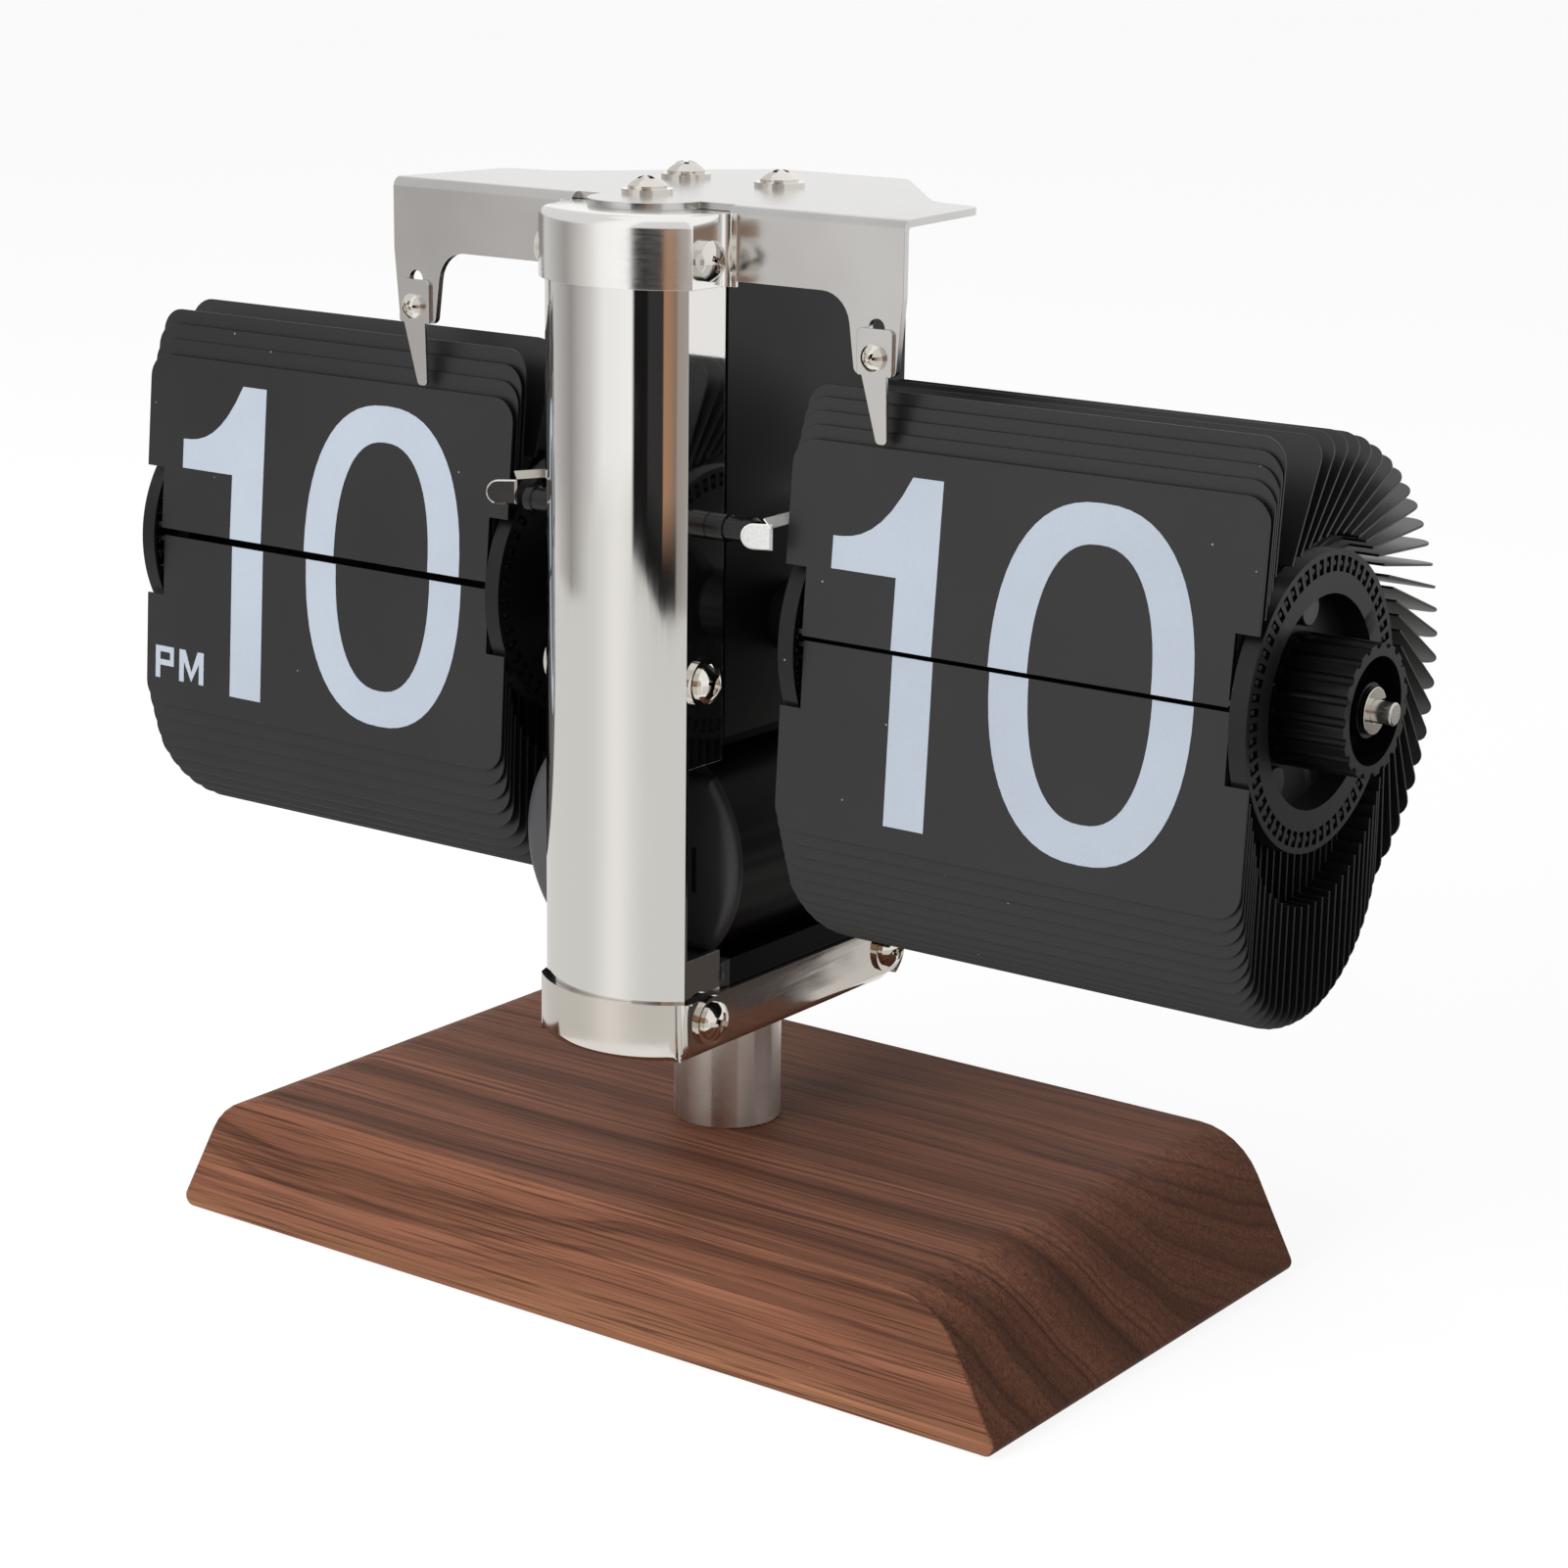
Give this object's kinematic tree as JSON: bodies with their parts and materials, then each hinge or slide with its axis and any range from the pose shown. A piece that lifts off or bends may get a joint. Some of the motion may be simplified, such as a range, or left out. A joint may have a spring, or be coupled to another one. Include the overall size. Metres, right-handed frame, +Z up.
{
  "type": "flip clock",
  "caption": "Free-standing flip clock: falling-leaf hour and minute drums either side of a polished round-fronted column, on a sloped wooden base.",
  "frame": {"origin": "middle of the felt pad's underside, on the surface that the clock stands on", "axes": "+X along the axle to the minute drum and its setting knob (the viewer's right), +Y to the back, +Z up; the shown face looks along -Y"},
  "size_m": [0.2058, 0.0892, 0.1587],
  "materials": {
    "walnut": "oiled walnut, open grain",
    "felt": "black felt",
    "polished_steel": "mirror polish",
    "satin_steel": "satin",
    "nickel_screws": "bright nickel plate",
    "zinc": "zinc plate",
    "axle_steel": "ground",
    "black_plastic": "moulded matte black",
    "leaf_plastic": "matte charcoal sheet",
    "print": "pale blue-grey print",
    "ivory_plastic": "moulded ivory",
    "board": "green laminate",
    "motor_can": "plated can",
    "cell": null
  },
  "bodies": {
    "root": {"wood_base": "walnut", "felt_pad": "felt", "post_bolt": "zinc", "bolt_nut": "zinc", "stand_post": "satin_steel", "bottom_bracket": "polished_steel", "bracket_screws": "nickel_screws", "front_column": "polished_steel", "column_screws": "nickel_screws", "column_cap": "satin_steel", "cap_screws": "nickel_screws", "top_plate": "satin_steel", "plate_screws": "nickel_screws", "hour_finger": "satin_steel", "minute_finger": "satin_steel", "finger_screws": "nickel_screws", "guide_rod": "black_plastic", "guide_tongues": "polished_steel", "movement_case": "black_plastic", "case_cover": "black_plastic", "cover_screws": "zinc", "movement_plate": "ivory_plastic", "motor": "motor_can", "circuit_board": "board", "axle": "axle_steel", "axle_clips": "axle_steel", "minute_front_leaves": "leaf_plastic", "minute_fan_leaves": "leaf_plastic", "minute_hanging_leaves": "leaf_plastic", "hour_front_leaves": "leaf_plastic", "hour_fan_leaves": "leaf_plastic", "hour_hanging_leaves": "leaf_plastic", "minute_numerals": "print", "hour_numerals": "print", "battery_housing": "black_plastic", "battery_cell": "cell", "battery_contacts": "zinc"},
    "minute_drum": {"minute_inner_disc": "black_plastic", "minute_core": "black_plastic", "minute_outer_disc": "black_plastic", "setting_knob": "black_plastic", "cannon_pinion": "ivory_plastic", "minute_wheel": "ivory_plastic"},
    "hour_drum": {"hour_inner_disc": "black_plastic", "hour_core": "black_plastic", "hour_outer_disc": "black_plastic", "hour_wheel": "ivory_plastic"},
    "minute_flap": {"minute_leaf": "leaf_plastic", "minute_leaf_numerals": "print"},
    "hour_flap": {"hour_leaf": "leaf_plastic", "hour_leaf_numerals": "print"},
    "transfer": {"transfer_gear": "ivory_plastic"},
    "motor_gear": {"motor_pinion": "ivory_plastic"},
    "battery_door": {"battery_cover": "black_plastic", "cover_contact": "zinc"}
  },
  "joints": [
    {"name": "minute_drum_spin", "type": "hinge", "parent": "root", "child": "minute_drum", "pos_m": [0, -0.0036, 0.098], "axis": [1, 0, 0], "continuous": true},
    {"name": "hour_drum_spin", "type": "hinge", "parent": "root", "child": "hour_drum", "pos_m": [0, -0.0036, 0.098], "axis": [1, 0, 0], "continuous": true},
    {"name": "transfer_spin", "type": "hinge", "parent": "root", "child": "transfer", "pos_m": [0, -0.0036, 0.112], "axis": [1, 0, 0], "continuous": true},
    {"name": "motor_pinion_spin", "type": "hinge", "parent": "root", "child": "motor_gear", "pos_m": [0, 0.00992, 0.09438], "axis": [1, 0, 0], "continuous": true},
    {"name": "minute_leaf_fall", "type": "hinge", "parent": "root", "child": "minute_flap", "pos_m": [0.0604, -0.02198, 0.10082], "axis": [1, 0, 0], "range_deg": [0, 180]},
    {"name": "hour_leaf_fall", "type": "hinge", "parent": "root", "child": "hour_flap", "pos_m": [-0.0604, -0.02198, 0.10082], "axis": [1, 0, 0], "range_deg": [0, 180]},
    {"name": "battery_cover_slide", "type": "slide", "parent": "root", "child": "battery_door", "axis": [0, 1, 0], "range_m": [0, 0.03]}
  ],
  "couplings": [
    {"joint": "hour_drum_spin", "follows": "minute_drum_spin", "ratio": 0.041667},
    {"joint": "transfer_spin", "follows": "minute_drum_spin", "ratio": -0.25},
    {"joint": "motor_pinion_spin", "follows": "minute_drum_spin", "ratio": -6}
  ]
}
